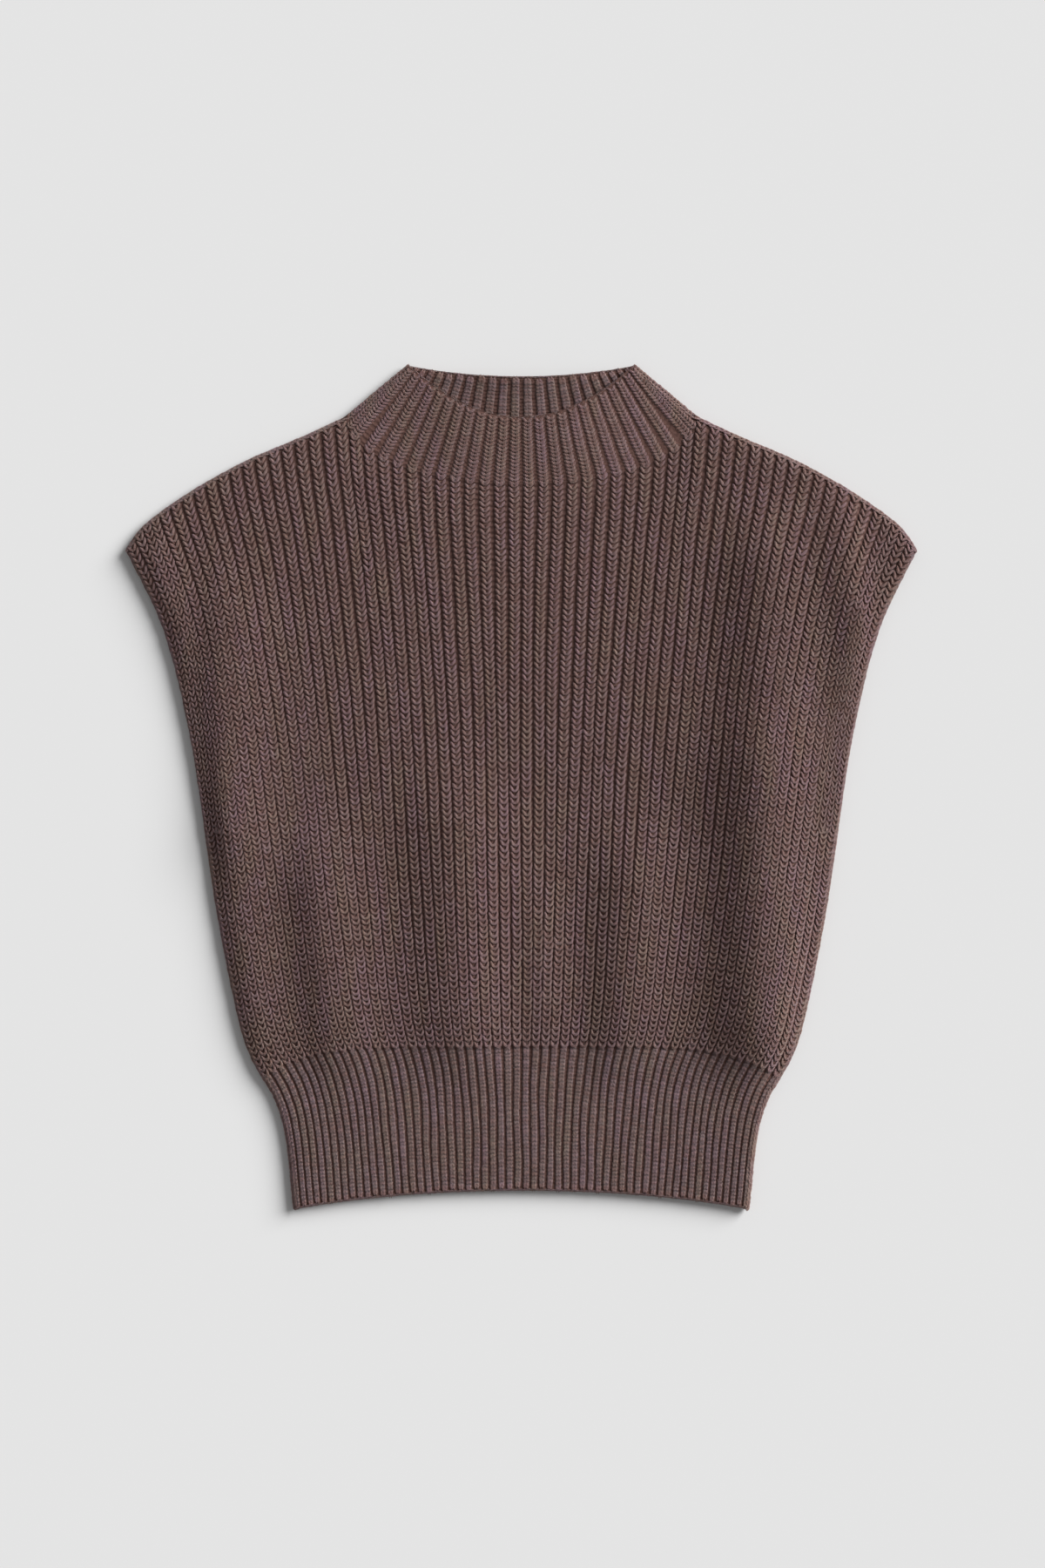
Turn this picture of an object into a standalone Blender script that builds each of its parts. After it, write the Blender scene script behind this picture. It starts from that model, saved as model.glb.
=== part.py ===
"""Sleeveless mock neck sweater in chunky half-cardigan rib, laid flat with its front up.

The sweater lies on the plane z = 0. X runs across the garment, Y from the hem to the collar.
Sizes are in millimetres and are turned to metres when a mesh is made. A "height" is the
distance above the hem's corners, measured along the cloth's length. Every panel is a wall
lofted through rows of points: the ribs are raised in the upper points over a plain inner face.
"""

import math

import bmesh
import bpy

MM = 0.001

# Length and width of the garment, mm
LENGTH = 581.1  # from the hem's corners to the collar's corners
TIP_HALF_WIDTH = 272.1  # shoulder tips
TIP_HEIGHT = 453.9
NECK_HALF_WIDTH = 119.5  # where the shoulder meets the collar
NECK_HEIGHT = 546.0
RIM_HALF_WIDTH = 77.4  # the collar's top edge, laid flat
FRONT_RIM_DIP = 36.0
BACK_RIM_DIP = 7.8
FRONT_NECK_DIP = 46.0  # the collar's base curve below the neck point
BACK_NECK_DIP = 18.0
HEM_RISE = 12.9  # how far the hem's middle lies above its corners
JOIN_CENTRE = 113.1  # height of the line where hem rib turns to body rib
JOIN_EDGE = 90.9
JOIN_POWER = 5.0
COURSE_CENTRE = 520.0  # where a straight course would lie at the shoulder's height

# Ribs
BODY_RIBS = 60  # across the front, side to side
NECK_RIBS = 24  # the ones that run on into the collar
NECK_SHARE = NECK_RIBS / BODY_RIBS

# Thickness of the layers, mm
BACK_WALL = 4.0
REST_GAP = 0.3  # between the layers, and at each seam
BODY_WALL = 2.6  # in the valleys between the ribs
BODY_RIB = 2.2  # the ribs' rise above the valleys
TRIM_WALL = 2.2  # the same for the finer rib of hem and collar
TRIM_RIB = 1.6
EDGE_WALL = 1.8  # at the outline, where the wall rounds off
EDGE_RADIUS = 9.0
BACK_TURN_UP = 1.6  # how far the back's edge turns up from the surface
LIFT_WIDTH = 10.0  # how fast the folds rise inside the outline

# The outline's side, from the hem's corner to the shoulder tip: (height, half width)
SIDE_EDGE = (
    (0.0, 156.3),
    (53.0, 162.3),
    (77.0, 169.8),
    (101.0, 184.2),
    (125.0, 193.0),
    (197.0, 207.9),
    (257.0, 217.2),
    (329.0, 228.6),
    (401.0, 246.9),
    (TIP_HEIGHT, TIP_HALF_WIDTH),
)

# The shoulder, from the neck point to the tip: (half width, height)
SHOULDER = (
    (NECK_HALF_WIDTH, NECK_HEIGHT),
    (147.0, 533.0),
    (189.0, 515.0),
    (222.0, 497.0),
    (249.0, 479.0),
    (263.0, 467.0),
    (TIP_HALF_WIDTH, TIP_HEIGHT),
)

# How much wider the ribs are in the middle than on average: (share of the way up, widening)
BODY_FAN = ((0.0, 0.10), (0.46, 0.135), (0.75, 0.167), (0.9, 0.16), (1.0, 0.117))
HEM_FAN = ((0.0, 0.07), (1.0, 0.10))
RIM_FAN = 0.22

# The folds of the front, each a soft ridge along a line from its foot to its head, in mm:
# (name, foot x, foot height, head x, head height, half width left, half width right, lift)
FOLDS = (
    ("left side", -202, 270, -204, 400, 18, 28, 6.0),
    ("left side, lower half", -192, 130, -198, 250, 50, 28, 3.5),
    ("right side", 164, 108, 170, 440, 28, 34, 10.0),
    ("right side, lower half", 160, 108, 163, 300, 40, 34, 8.5),
    ("left flute", -126, 108, -138, 220, 20, 34, 7.5),
    ("middle left flute", -40, 108, -44, 262, 34, 34, 9.5),
    ("middle flute", 18, 118, 14, 185, 14, 18, 3.0),
    ("middle right flute", 70, 108, 77, 220, 25, 34, 8.5),
    ("right armhole", 238, 372, 222, 452, 20, 14, 7.0),
    ("left armhole", -236, 396, -250, 440, 12, 12, 3.0),
    ("collar", -26, 545, 26, 545, 40, 40, 4.5),
    ("chest", 0, 330, 0, 430, 110, 110, 1.2),
)
FOLD_TAPER = 38.0  # how far a fold dies out past its ends
HOLD_FROM = 60.0  # the hem rib holds the folds down: they rise between these heights
HOLD_TO = 140.0

# Shares of the way up at which the sections lie
BODY_ROWS = (0, 0.05, 0.12, 0.21, 0.31, 0.42, 0.53, 0.64, 0.75, 0.85, 0.93, 0.975, 0.992, 1)
HEM_ROWS = (0, 0.3, 0.58, 0.75, 0.88, 1)
COLLAR_ROWS = (0, 0.35, 0.7, 1)
BACK_NECK_STEPS = 6  # the plain back's columns, from the middle to the neck point
BACK_SIDE = (0.5, 0.6, 0.7, 0.8, 0.9, 0.955, 0.985, 1)  # and on from there to the side

KNIT_BROWN = (0.105, 0.066, 0.058, 1.0)
RIB_BROWN = (0.112, 0.071, 0.062, 1.0)


def smooth_curve(knots):
    """A smooth curve through (a, b) knots, as a function of a."""
    slopes = []
    for i in range(len(knots)):
        low, high = knots[max(i - 1, 0)], knots[min(i + 1, len(knots) - 1)]
        slopes.append((high[1] - low[1]) / (high[0] - low[0]))

    def value(a):
        i = 0
        while i < len(knots) - 2 and a > knots[i + 1][0]:
            i += 1
        (a0, b0), (a1, b1) = knots[i], knots[i + 1]
        span = a1 - a0
        p = min(max((a - a0) / span, 0.0), 1.0)
        return (
            (2 * p**3 - 3 * p**2 + 1) * b0
            + (p**3 - 2 * p**2 + p) * span * slopes[i]
            + (3 * p**2 - 2 * p**3) * b1
            + (p**3 - p**2) * span * slopes[i + 1]
        )

    return value


side_edge = smooth_curve(SIDE_EDGE)
shoulder = smooth_curve(SHOULDER)
body_fan = smooth_curve(BODY_FAN)
hem_fan = smooth_curve(HEM_FAN)


def blend(a, b, share):
    return a + (b - a) * share


def fanned(across, widening):
    """Where a rib lies across its row, -1 to 1, when the middle ribs are spread."""
    return across * (1 + widening * (1 - across * across))


def outline():
    """Points along the right half of the outline: side, shoulder and collar side."""
    steps = 40
    points = [(side_edge(TIP_HEIGHT * i / steps), TIP_HEIGHT * i / steps) for i in range(steps)]
    for i in range(steps):
        x = blend(TIP_HALF_WIDTH, NECK_HALF_WIDTH, i / steps)
        points.append((x, shoulder(x)))
    points.append((NECK_HALF_WIDTH, NECK_HEIGHT))
    points.append((RIM_HALF_WIDTH, LENGTH))
    return points


OUTLINE = outline()


def from_line(x, height, ax, ah, bx, bh):
    """How far a point lies from the line between a and b, across and up the cloth."""
    length2 = (bx - ax) ** 2 + (bh - ah) ** 2
    p = min(max(((x - ax) * (bx - ax) + (height - ah) * (bh - ah)) / length2, 0.0), 1.0)
    return x - blend(ax, bx, p), height - blend(ah, bh, p)


def edge_distance(x, height):
    pairs = zip(OUTLINE, OUTLINE[1:])
    return min(math.hypot(*from_line(abs(x), height, *a, *b)) for a, b in pairs)


def edge_round(x, height):
    """0 on the outline, rising as a quarter circle to 1 inside the edge's radius."""
    inside = min(edge_distance(x, height) / EDGE_RADIUS, 1.0)
    return math.sqrt(1 - (1 - inside) ** 2)


def fold_lift(x, height):
    """How far the front is lifted off the back, by all the folds together."""
    lift = 0.0
    for _, foot_x, foot, head_x, head, left, right, rise in FOLDS:
        side, past = from_line(x, height, foot_x, foot, head_x, head)
        side /= left if side < 0 else right
        lift += rise * math.exp(-side * side - (past / FOLD_TAPER) ** 2)
    free = min(max((height - HOLD_FROM) / (HOLD_TO - HOLD_FROM), 0.0), 1.0)
    edge = 1 - math.exp(-((edge_distance(x, height) / LIFT_WIDTH) ** 2))
    return lift * edge * free * free * (3 - 2 * free)


def front_neck(x):
    return NECK_HEIGHT - FRONT_NECK_DIP * math.sqrt(max(1 - (x / NECK_HALF_WIDTH) ** 2, 0.0))


def back_neck(x):
    return NECK_HEIGHT - BACK_NECK_DIP * (1 - (x / NECK_HALF_WIDTH) ** 2)


def join_height(across):
    return blend(JOIN_CENTRE, JOIN_EDGE, abs(across) ** JOIN_POWER)


def top_height(across, neck):
    """Where a rib ends: on the neck curve, or else on the shoulder."""
    x = abs(TIP_HALF_WIDTH * fanned(across, body_fan(1.0)))
    return neck(min(x, NECK_HALF_WIDTH)) if abs(across) <= NECK_SHARE + 1e-6 else shoulder(x)


def top_along_valleys(across, neck):
    """The same, straight from each valley to the next, so that two seamed walls run alike."""
    half = BODY_RIBS / 2
    valley = min(math.floor(across * half + 1e-6), half - 1)
    low, high = top_height(valley / half, neck), top_height((valley + 1) / half, neck)
    return blend(low, high, across * half - valley)


def body_place(across, up, neck):
    """(x, height) of a body point, from its share across, -1 to 1, and its share of the way up."""
    x = side_edge(blend(JOIN_EDGE, TIP_HEIGHT, up)) * fanned(across, body_fan(up))
    top = top_along_valleys(across, neck)
    course = COURSE_CENTRE - (COURSE_CENTRE - TIP_HEIGHT) * across * across
    bottom = join_height(across)
    return x, bottom + (course - bottom) * up + (top - course) * up**3


def hem_place(across, up):
    edge_height = blend(0.0, JOIN_EDGE, up)
    x = side_edge(edge_height) * fanned(across, hem_fan(up))
    bottom = HEM_RISE * (1 - across * across)
    return x, blend(bottom, join_height(across) - REST_GAP, up)


def collar_place(across, up, neck, rim_dip):
    """A collar rib runs on from the body rib below it, which is a seam's gap away."""
    base_x, base_height = body_place(across * NECK_SHARE, 1.0, neck)
    rim_x = RIM_HALF_WIDTH * fanned(across, RIM_FAN)
    rim_height = LENGTH - rim_dip * (1 - (rim_x / RIM_HALF_WIDTH) ** 2)
    seam = 1.5 * REST_GAP / math.hypot(rim_x - base_x, rim_height - base_height)
    share = blend(seam, 1.0, up)
    return blend(base_x, rim_x, share), blend(base_height, rim_height, share)


def metres(x, height, z):
    return x * MM, (height - LENGTH / 2) * MM, z * MM


def front_under(x, height):
    return BACK_WALL + REST_GAP + fold_lift(x, height)


def front_upper(x, height, wall, rib, crest):
    full = wall + rib * crest
    return front_under(x, height) + blend(EDGE_WALL, full, edge_round(x, height))


def back_under(x, height):
    return BACK_TURN_UP * (1 - edge_round(x, height))


def even_shares(count):
    return [-1 + 2 * i / count for i in range(count + 1)]


def loft_wall(name, upper_rows, under_rows, material):
    """A closed wall between two sets of rows. An upper row may have several points for each
    one of an under row, so that ribs stand over a plain inner face."""
    mesh = bmesh.new()
    upper = [[mesh.verts.new(metres(*point)) for point in row] for row in upper_rows]
    under = [[mesh.verts.new(metres(*point)) for point in row] for row in under_rows]
    per_column = (len(upper[0]) - 1) // (len(under[0]) - 1)
    for rows in (upper, under):
        for low, high in zip(rows, rows[1:]):
            for i in range(len(low) - 1):
                mesh.faces.new((low[i], low[i + 1], high[i + 1], high[i]))
    for top, bottom in ((upper[0], under[0]), (upper[-1], under[-1])):
        for i in range(len(bottom) - 1):
            raised = top[i * per_column : (i + 1) * per_column + 1]
            mesh.faces.new((bottom[i], bottom[i + 1], *reversed(raised)))
    for side in (0, -1):
        for i in range(len(upper) - 1):
            mesh.faces.new((upper[i][side], upper[i + 1][side], under[i + 1][side], under[i][side]))
    bmesh.ops.recalc_face_normals(mesh, faces=mesh.faces)
    data = bpy.data.meshes.new(name)
    mesh.to_mesh(data)
    mesh.free()
    data.materials.append(material)
    panel = bpy.data.objects.new(name, data)
    bpy.data.collections[COLLECTION].objects.link(panel)
    return panel


def front_panel(name, place, ribs, rows, wall, rib, material):
    """A front piece: two upper points for each rib, a valley and a crest."""
    upper, under = [], []
    for up in rows:
        points = [place(across, up) for across in even_shares(2 * ribs)]
        upper.append([(*p, front_upper(*p, wall, rib, i % 2)) for i, p in enumerate(points)])
        under.append([(*p, front_under(*p)) for p in points[::2]])
    return loft_wall(name, upper, under, material)


def back_panel(name, place, shares, rows, material):
    """A back piece that lies under the front: flat above, and flat where it rests."""
    upper, under = [], []
    for up in rows:
        points = [place(across, up) for across in shares]
        upper.append([(*p, BACK_WALL) for p in points])
        under.append([(*p, back_under(*p)) for p in points])
    return loft_wall(name, upper, under, material)


def back_collar(name, place, ribs, rows, material):
    """The collar's back half: its inner face shows above the front rim, so its ribs face up."""
    upper, under = [], []
    valley = BACK_WALL - TRIM_RIB
    for up in rows:
        points = [place(across, up) for across in even_shares(2 * ribs)]
        upper.append([(*p, valley + TRIM_RIB * (i % 2)) for i, p in enumerate(points)])
        under.append([(*p, min(back_under(*p), valley - TRIM_WALL / 2)) for p in points[::2]])
    return loft_wall(name, upper, under, material)


def knit_material(name, colour):
    material = bpy.data.materials.new(name)
    material.use_nodes = True
    shader = material.node_tree.nodes["Principled BSDF"]
    shader.inputs["Base Color"].default_value = colour
    shader.inputs["Roughness"].default_value = 0.9
    shader.inputs["Metallic"].default_value = 0.0
    return material


COLLECTION = "mock_neck_sweater"


def build():
    for thing in list(bpy.data.objects):
        bpy.data.objects.remove(thing)
    bpy.context.scene.collection.children.link(bpy.data.collections.new(COLLECTION))
    body_knit = knit_material("half_cardigan_knit", KNIT_BROWN)
    rib_knit = knit_material("fine_rib_knit", RIB_BROWN)

    def front_body(across, up):
        return body_place(across, up, front_neck)

    def back_body(across, up):
        return body_place(across, up, back_neck)

    def front_neck_rib(across, up):
        return collar_place(across, up, front_neck, FRONT_RIM_DIP)

    def back_neck_rib(across, up):
        return collar_place(across, up, back_neck, BACK_RIM_DIP)

    back_half = [NECK_SHARE * (i + 1) / BACK_NECK_STEPS for i in range(BACK_NECK_STEPS)]
    back_half.extend(BACK_SIDE)
    back_shares = [-a for a in reversed(back_half)] + [0.0] + back_half
    back_panel("back_body", back_body, back_shares, BODY_ROWS, body_knit)
    back_panel("back_hem_rib", hem_place, back_shares, HEM_ROWS, rib_knit)
    back_collar("back_collar", back_neck_rib, NECK_RIBS, COLLAR_ROWS, rib_knit)
    front_panel("front_body", front_body, BODY_RIBS, BODY_ROWS, BODY_WALL, BODY_RIB, body_knit)
    front_panel("front_hem_rib", hem_place, BODY_RIBS, HEM_ROWS, TRIM_WALL, TRIM_RIB, rib_knit)
    front_panel("front_collar", front_neck_rib, NECK_RIBS, COLLAR_ROWS, TRIM_WALL, TRIM_RIB, rib_knit)


build()
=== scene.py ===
"""Looks of the sleeveless mock neck sweater: its stitches, its yarn, the light and the camera.

The sweater lies front up on the plane z = 0, with X across it and Y from hem to collar. Each
knitted piece is a thin ribbed wall with its visible stitches laid on it, two legs of yarn for
each stitch. Sizes are in millimetres until a mesh is made.

A place on a piece is given by two shares: across, from -1 at its left edge to 1 at its right, and
up, from 0 at its foot to 1 at its head. A height is measured from the hem's corners.
"""

import math
from collections.abc import Callable
from dataclasses import dataclass
from functools import partial

import bmesh
import bpy
import numpy as np
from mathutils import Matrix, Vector


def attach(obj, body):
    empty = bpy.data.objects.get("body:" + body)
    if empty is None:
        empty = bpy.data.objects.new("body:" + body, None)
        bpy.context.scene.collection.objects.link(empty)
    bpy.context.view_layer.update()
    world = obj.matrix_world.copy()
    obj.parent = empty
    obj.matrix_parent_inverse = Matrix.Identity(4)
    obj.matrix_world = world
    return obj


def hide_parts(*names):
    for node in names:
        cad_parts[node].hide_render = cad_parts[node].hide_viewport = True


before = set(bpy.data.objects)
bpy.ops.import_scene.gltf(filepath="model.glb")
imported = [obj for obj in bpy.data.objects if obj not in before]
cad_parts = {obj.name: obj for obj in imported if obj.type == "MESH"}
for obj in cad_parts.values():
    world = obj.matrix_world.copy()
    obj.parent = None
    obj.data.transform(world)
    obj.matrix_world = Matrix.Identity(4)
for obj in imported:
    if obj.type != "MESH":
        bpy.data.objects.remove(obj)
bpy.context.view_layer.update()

MM = 0.001
SEED = 7
GOLDEN = 0.618  # steps of this share never fall into a pattern
BODY_SLOT = "half_cardigan_knit"
TRIM_SLOT = "fine_rib_knit"

# The outline, mm: the driving dimensions of the solids. A dip is how far the middle of a curve
# lies below its ends, and the hem's rise is how far its middle lies above them.
LENGTH = 581.1
TIP_HALF_WIDTH = 272.1
TIP_HEIGHT = 453.9
NECK_HALF_WIDTH = 119.5
NECK_HEIGHT = 546.0
RIM_HALF_WIDTH = 77.4
FRONT_RIM_DIP = 36.0
BACK_RIM_DIP = 7.8
FRONT_NECK_DIP = 46.0
BACK_NECK_DIP = 18.0
HEM_RISE = 12.9
JOIN_CENTRE = 113.1  # the height of the body's foot in the middle
JOIN_EDGE = 90.9
JOIN_POWER = 5.0  # the higher it is, the nearer the sides the join's line drops
COURSE_CENTRE = 520.0  # the height that the body's courses lead up to in the middle
OUTLINE_STEPS = 41  # points up each side, and along each shoulder

# Ribs and courses
BODY_RIBS = 60
NECK_RIBS = 24
NECK_SHARE = NECK_RIBS / BODY_RIBS
BODY_COURSE = 3.99  # mm along a rib
HEM_COURSE = 2.7
COLLAR_COURSE = 2.55

# The band beside each armhole, where four columns of stitches lie in the room of three ribs
ARMHOLE_FOOT = 262.0
BAND_COLUMNS = 4
BAND_RIBS = 3
BAND_START = 1 - 2 * BAND_RIBS / BODY_RIBS  # the share across at which it begins

# Layers, mm
BACK_WALL = 4.0
REST_GAP = 0.3
SEAM_GAP = 1.5 * REST_GAP  # between a collar's foot and the body
BODY_THICK = 4.8
TRIM_THICK = 3.8
NECK_TAPER = 28.0  # the length over which the body thins out towards the collar
RIM_TURN_UP = 5.5  # how far the middle of the back collar's rim stands up
RIM_TURN_FROM = 6.0  # how far below the neck's corners that turn begins
FRONT_INSET = 0.003  # how far inside the outline a wall ends, as a share of the half width
BACK_INSET = 0.002
EDGE_WALL = 1.8  # the front's thickness at the very edge
EDGE_RADIUS = 9.0  # how far in from the outline the cloth reaches its full thickness
BACK_TURN_UP = 1.6  # how far the back's underside rises at the very edge
LIFT_WIDTH = 10.0  # how far from the outline the folds die out
HOLD_FROM = 60.0  # the hem rib lies flat below this height, and the folds are free above HOLD_TO
HOLD_TO = 140.0

# (height, half width) up the side, then (half width, height) down the shoulder
SIDE_EDGE = (
    (0.0, 156.3),
    (53.0, 162.3),
    (77.0, 169.8),
    (101.0, 184.2),
    (125.0, 193.0),
    (197.0, 207.9),
    (257.0, 217.2),
    (329.0, 228.6),
    (401.0, 246.9),
    (TIP_HEIGHT, TIP_HALF_WIDTH),
)
SHOULDER = (
    (NECK_HALF_WIDTH, NECK_HEIGHT),
    (147.0, 533.0),
    (189.0, 515.0),
    (222.0, 497.0),
    (249.0, 479.0),
    (263.0, 467.0),
    (TIP_HALF_WIDTH, TIP_HEIGHT),
)

# (share of the way up, how much wider the middle ribs are spread)
BODY_FAN = ((0.0, 0.10), (0.46, 0.135), (0.75, 0.167), (0.9, 0.16), (1.0, 0.117))
HEM_FAN = ((0.0, 0.07), (1.0, 0.10))
RIM_FAN = 0.22  # the same at a collar's rim

# How ribs stray from their even places, as a share of the half width, and the waves that do it:
# (size, radians for each unit across, radians for each unit up, start)
STRAY = 0.0022
STRAY_WAVES = ((1.0, 9, 5, 1.0), (0.7, 23, -7, 2.2), (0.5, 47, 11, 0.0))

# Each soft fold: (name, foot x, foot height, head x, head height, half widths left and right of
# its ridge, lift)
FOLDS = (
    ("left side", -202, 270, -204, 400, 18, 28, 6.0),
    ("left side, lower half", -192, 130, -198, 250, 50, 28, 3.5),
    ("right side", 164, 108, 170, 440, 28, 34, 10.0),
    ("right side, lower half", 160, 108, 163, 300, 40, 34, 8.5),
    ("left flute", -126, 108, -138, 220, 20, 34, 7.5),
    ("middle left flute", -40, 108, -44, 262, 34, 34, 9.5),
    ("middle flute", 18, 118, 14, 185, 14, 18, 3.0),
    ("middle right flute", 70, 108, 77, 220, 25, 34, 8.5),
    ("right armhole", 238, 372, 222, 452, 20, 14, 7.0),
    ("left armhole", -236, 396, -250, 440, 12, 12, 3.0),
    ("collar", -26, 545, 26, 545, 40, 40, 4.5),
    ("chest", 0, 330, 0, 430, 110, 110, 1.2),
)
FOLD_TAPER = 38.0  # the length over which a fold dies out past its ends


# -------- where the cloth lies


def smooth_curve(knots):
    """A smooth curve through (a, b) knots, as a function of a."""
    a, b = np.array(knots, dtype=float).T
    slope = np.empty_like(b)
    slope[1:-1] = (b[2:] - b[:-2]) / (a[2:] - a[:-2])
    slope[0] = (b[1] - b[0]) / (a[1] - a[0])
    slope[-1] = (b[-1] - b[-2]) / (a[-1] - a[-2])

    def value(x):
        i = np.clip(np.searchsorted(a, x) - 1, 0, len(a) - 2)
        span = a[i + 1] - a[i]
        p = np.clip((x - a[i]) / span, 0, 1)
        ends = (2 * p**3 - 3 * p**2 + 1) * b[i] + (3 * p**2 - 2 * p**3) * b[i + 1]
        return ends + ((p**3 - 2 * p**2 + p) * slope[i] + (p**3 - p**2) * slope[i + 1]) * span

    return value


side_edge = smooth_curve(SIDE_EDGE)
shoulder = smooth_curve(SHOULDER)
body_fan = smooth_curve(BODY_FAN)
hem_fan = smooth_curve(HEM_FAN)


def blend(a, b, share):
    return a + (b - a) * share


def eased(share):
    """A share from 0 to 1 that starts and ends gently."""
    return share * share * (3 - 2 * share)


def fanned(across, widening):
    return across * (1 + widening * (1 - across * across))


def outline_points():
    """(x, height) points up the right side, along the shoulder and up the collar's side."""
    steps = np.linspace(0, 1, OUTLINE_STEPS)
    side = TIP_HEIGHT * steps
    top = blend(TIP_HALF_WIDTH, NECK_HALF_WIDTH, steps[1:])
    x = np.concatenate((side_edge(side), top, [RIM_HALF_WIDTH]))
    height = np.concatenate((side, shoulder(top), [LENGTH]))
    return np.stack((x, height), axis=-1)


OUTLINE = outline_points()


def share_along(x, height, start, end):
    """Which share of a line from start to end lies before its nearest point to a place."""
    run, rise = end[0] - start[0], end[1] - start[1]
    ahead = (x - start[0]) * run + (height - start[1]) * rise
    return np.clip(ahead / (run**2 + rise**2), 0, 1)


def edge_distance(x, height):
    near = np.full(np.shape(x), np.inf)
    for start, end in zip(OUTLINE, OUTLINE[1:]):
        share = share_along(abs(x), height, start, end)
        edge_x, edge_height = blend(start[0], end[0], share), blend(start[1], end[1], share)
        near = np.minimum(near, np.hypot(abs(x) - edge_x, height - edge_height))
    return near


def edge_round(x, height):
    """How far the cloth has rounded up to its full thickness: 0 at the outline, 1 well inside."""
    inside = np.minimum(edge_distance(x, height) / EDGE_RADIUS, 1)
    return np.sqrt(1 - (1 - inside) ** 2)


def fold_lift(x, height):
    """How far the folds lift the front off the back."""
    lift = 0.0
    for _, foot_x, foot, head_x, head, left, right, rise in FOLDS:
        share = share_along(x, height, (foot_x, foot), (head_x, head))
        side = x - blend(foot_x, head_x, share)
        side = side / np.where(side < 0, left, right)
        past = (height - blend(foot, head, share)) / FOLD_TAPER
        lift = lift + rise * np.exp(-side * side - past * past)
    free = eased(np.clip((height - HOLD_FROM) / (HOLD_TO - HOLD_FROM), 0, 1))
    edge = 1 - np.exp(-((edge_distance(x, height) / LIFT_WIDTH) ** 2))
    return lift * edge * free


def front_neck(x):
    return NECK_HEIGHT - FRONT_NECK_DIP * np.sqrt(np.clip(1 - (x / NECK_HALF_WIDTH) ** 2, 0, 1))


def back_neck(x):
    return NECK_HEIGHT - BACK_NECK_DIP * (1 - (x / NECK_HALF_WIDTH) ** 2)


def wander(across, up):
    """How far a rib strays from its even place, as a share of the half width."""
    held = (1 - across**4) * np.sqrt(np.clip(np.sin(math.pi * np.clip(up, 0, 1)), 0, 1))
    waves = [size * np.sin(a * across + b * up + start) for size, a, b, start in STRAY_WAVES]
    return STRAY * held * sum(waves)


def join_height(across):
    return blend(JOIN_CENTRE, JOIN_EDGE, abs(across) ** JOIN_POWER)


def body_place(neck, across, up):
    """A place on the body. Its courses bend to the neck and shoulders only near its head."""
    across = across + wander(across, up)
    x = side_edge(blend(JOIN_EDGE, TIP_HEIGHT, up)) * fanned(across, body_fan(up))
    top_x = abs(TIP_HALF_WIDTH * fanned(across, body_fan(1.0)))
    in_neck = abs(across) <= NECK_SHARE
    top = np.where(in_neck, neck(np.minimum(top_x, NECK_HALF_WIDTH)), shoulder(top_x))
    course = blend(COURSE_CENTRE, TIP_HEIGHT, across * across)
    bottom = join_height(across)
    return x, bottom + (course - bottom) * up + (top - course) * up**3


def hem_place(across, up):
    across = across + wander(across, up)
    x = side_edge(blend(0.0, JOIN_EDGE, up)) * fanned(across, hem_fan(up))
    return x, blend(HEM_RISE * (1 - across * across), join_height(across) - REST_GAP, up)


def collar_place(neck, rim_dip, across, up):
    """A place on a collar. Its ribs run straight on from the body's to the rim."""
    base_x, base_height = body_place(neck, across * NECK_SHARE, 1.0)
    rim_x = RIM_HALF_WIDTH * fanned(across, RIM_FAN)
    rim_height = LENGTH - rim_dip * (1 - (rim_x / RIM_HALF_WIDTH) ** 2)
    seam = SEAM_GAP / np.hypot(rim_x - base_x, rim_height - base_height)
    share = blend(seam, 1.0, up)
    return blend(base_x, rim_x, share), blend(base_height, rim_height, share)


# -------- how high its faces lie


def front_inner(x, height):
    return BACK_WALL + REST_GAP + fold_lift(x, height)


def front_outer(thick, x, height):
    """The ribs' tops on a front piece. The body thins out as it nears the collar."""
    to_neck = np.clip((height - front_neck(x)) / NECK_TAPER + 1, 0, 1)
    to_neck = to_neck * np.clip((NECK_HALF_WIDTH + NECK_TAPER - abs(x)) / NECK_TAPER, 0, 1)
    full = blend(thick, TRIM_THICK, eased(to_neck))
    return front_inner(x, height) + blend(EDGE_WALL, full, edge_round(x, height))


def back_inner(x, height):
    return np.full(np.shape(x), BACK_WALL)


def back_outer(x, height):
    return BACK_TURN_UP * (1 - edge_round(x, height))


def rim_rise(x, height):
    """The back collar curls up towards the middle of its rim."""
    up = np.clip((height - NECK_HEIGHT + RIM_TURN_FROM) / (LENGTH - NECK_HEIGHT), 0, 1)
    middle = np.clip(1 - (x / RIM_HALF_WIDTH) ** 2, 0, 1)
    return RIM_TURN_UP * up * up * middle * middle


def back_collar_face(x, height):
    return back_inner(x, height) + rim_rise(x, height)


def back_collar_underside(x, height):
    return back_outer(x, height) + rim_rise(x, height)


# -------- the six knitted pieces

NEARBY = 0.002  # the share over which a direction on a piece is measured
AREA_STEPS = 121  # points across and up a piece, to sum its flat area


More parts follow.
